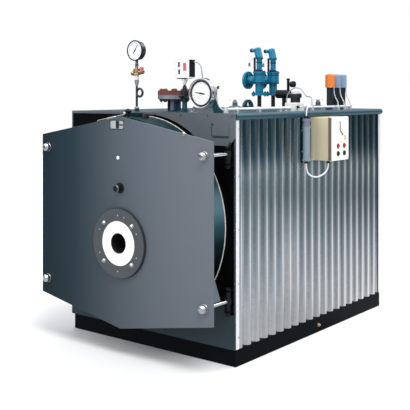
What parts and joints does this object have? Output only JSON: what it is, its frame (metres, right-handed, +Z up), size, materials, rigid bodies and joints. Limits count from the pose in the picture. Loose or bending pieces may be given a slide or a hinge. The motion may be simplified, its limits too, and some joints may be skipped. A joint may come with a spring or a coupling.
{
  "type": "industrial steam boiler",
  "caption": "Horizontal fire-tube steam boiler in a corrugated casing, with a swinging front door, safety valves, gauges and a control box on the side.",
  "frame": {"origin": "on the floor under the middle of the casing, on the underside of the middle cross member", "axes": "+X to the boiler's right as seen from the front door, +Y from the front door to the rear flue, +Z up"},
  "size_m": [1.3243, 2.046, 1.675],
  "materials": {
    "black_frame": "satin",
    "shell_teal": "satin",
    "raw_steel": "rough",
    "galvanised": "satin",
    "bright_trim": "satin",
    "roof_teal": "satin",
    "hood_teal": "satin",
    "lower_teal": "satin",
    "recess_black": "matt",
    "door_blue_grey": "satin",
    "refractory": "matt",
    "rope": "matt",
    "chrome_rod": "polished",
    "black_plastic": "matt",
    "outlet_steel": "satin",
    "primer_red": "matt",
    "brass": "satin",
    "gauge_case": "satin",
    "switch_white": "satin",
    "conduit_silver": "satin",
    "valve_blue": "gloss",
    "cap_grey": "satin",
    "head_plastic": "satin",
    "box_ivory": "satin",
    "button_red": "gloss",
    "cable_white": "satin",
    "cable_grey": "satin",
    "cable_dark": "satin"
  },
  "bodies": {
    "boiler": {"base_frame": "black_frame", "boiler_shell": "shell_teal", "front_tube_plate": "raw_steel", "rear_tube_plate": "raw_steel", "furnace_tube": "raw_steel", "smoke_tubes": "raw_steel", "right_cladding": "galvanised", "left_cladding": "galvanised", "corner_trims": "bright_trim", "rear_panel": "recess_black", "roof_panel": "roof_teal", "front_hood": "hood_teal", "lower_front_panel": "lower_teal", "recess_panels": "recess_black", "hinge_brackets": "recess_black", "hinge_pins": "chrome_rod", "clamp_trunnions": "chrome_rod", "steam_outlet": "outlet_steel", "counter_flange": "primer_red", "gauge_siphon": "outlet_steel", "gauge_cock": "brass", "pressure_gauge": "gauge_case", "switch_manifold": "outlet_steel", "pressure_switch": "switch_white", "dial_gauge": "chrome_rod", "conduit_run": "conduit_silver", "junction_box": "switch_white", "valve_bodies": "valve_blue", "valve_bonnets": "valve_blue", "valve_levers": "cap_grey", "feed_valve": "black_plastic", "feed_drive": "black_plastic", "electrode_posts": "outlet_steel", "electrode_heads": "head_plastic", "lifting_eyes": "roof_teal", "inspection_caps": "cap_grey", "control_box": "box_ivory", "control_cover": "box_ivory", "control_buttons": "button_red", "conduit_riser": "conduit_silver", "cable_glands": "black_plastic", "smoke_box": "recess_black", "flue_spigot": "recess_black", "loop_cable": "cable_white", "switch_cable": "cable_grey", "dial_cable": "cable_dark", "electrode_cable_1": "cable_white", "electrode_cable_2": "cable_white", "electrode_cable_3": "cable_white", "riser_cable": "cable_white", "feed_cable": "cable_grey"},
    "door": {"door_plate": "door_blue_grey", "door_drum": "shell_teal", "door_refractory": "refractory", "gasket_rope": "rope", "burner_flange": "door_blue_grey", "burner_ceramic": "refractory", "sight_port": "black_plastic", "clamp_rods": "chrome_rod", "clamp_nuts": "chrome_rod"}
  },
  "joints": [
    {"name": "front_door_swing", "type": "hinge", "parent": "boiler", "child": "door", "pos_m": [-0.561, -0.825, 0.705], "axis": [0, 0, -1], "range_deg": [0, 110]}
  ]
}
